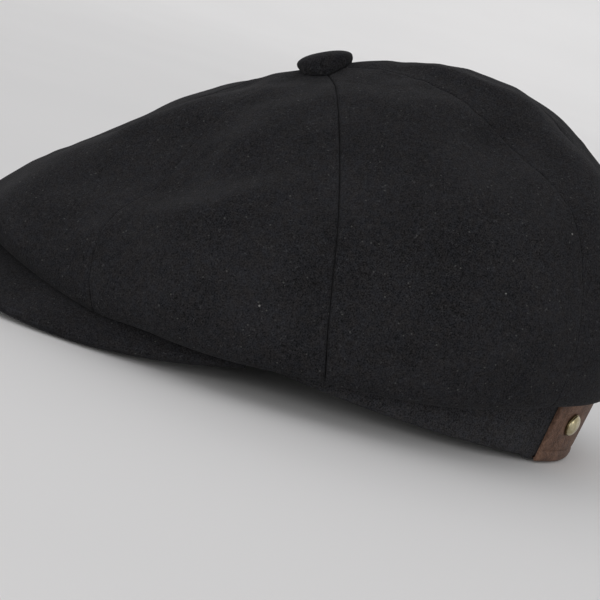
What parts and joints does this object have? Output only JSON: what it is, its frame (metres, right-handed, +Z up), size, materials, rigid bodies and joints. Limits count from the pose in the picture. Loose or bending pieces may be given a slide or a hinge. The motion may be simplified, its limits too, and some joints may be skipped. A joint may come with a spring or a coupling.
{
  "type": "newsboy cap",
  "caption": "Black wool newsboy cap: gored baggy crown with a covered button, short bent brim, band with a riveted leather tab, lining and sweatband.",
  "frame": {"origin": "on the table the cap rests on, under the middle of its bounding box", "axes": "+Z up, -Y towards the front of the brim, +X towards the wearer's left"},
  "size_m": [0.2196, 0.3078, 0.1415],
  "materials": {
    "melton": "brushed wool melton, matt with a short nap",
    "lining": "smooth satin lining",
    "sweatband": "ribbed cotton grosgrain",
    "interlining": "stiff woven buckram",
    "label": "plain woven label, blank",
    "board": "flexible brim board",
    "leather": "reddish brown, waxed, fine grain",
    "brass": "pale antique brass, domed and polished",
    "button_metal": "plated pressed steel"
  },
  "bodies": {
    "root": {"crown_front_left": "melton", "crown_front_side_left": "melton", "crown_back_side_left": "melton", "crown_back_left": "melton", "crown_back_right": "melton", "crown_back_side_right": "melton", "crown_front_side_right": "melton", "crown_front_right": "melton", "lining_front_left": "lining", "lining_front_side_left": "lining", "lining_back_side_left": "lining", "lining_back_left": "lining", "lining_back_right": "lining", "lining_back_side_right": "lining", "lining_front_side_right": "lining", "lining_front_right": "lining", "outer_band": "melton", "band_interlining": "interlining", "sweatband": "sweatband", "inner_label": "label", "leather_tab": "leather", "rivet_right": "brass", "rivet_washer_right": "brass", "rivet_left": "brass", "rivet_washer_left": "brass", "brim_board": "board", "brim_top_cover": "melton", "brim_under_cover": "melton", "button_cover": "melton", "button_shell": "button_metal", "button_post": "button_metal", "button_washer": "button_metal"}
  },
  "joints": []
}
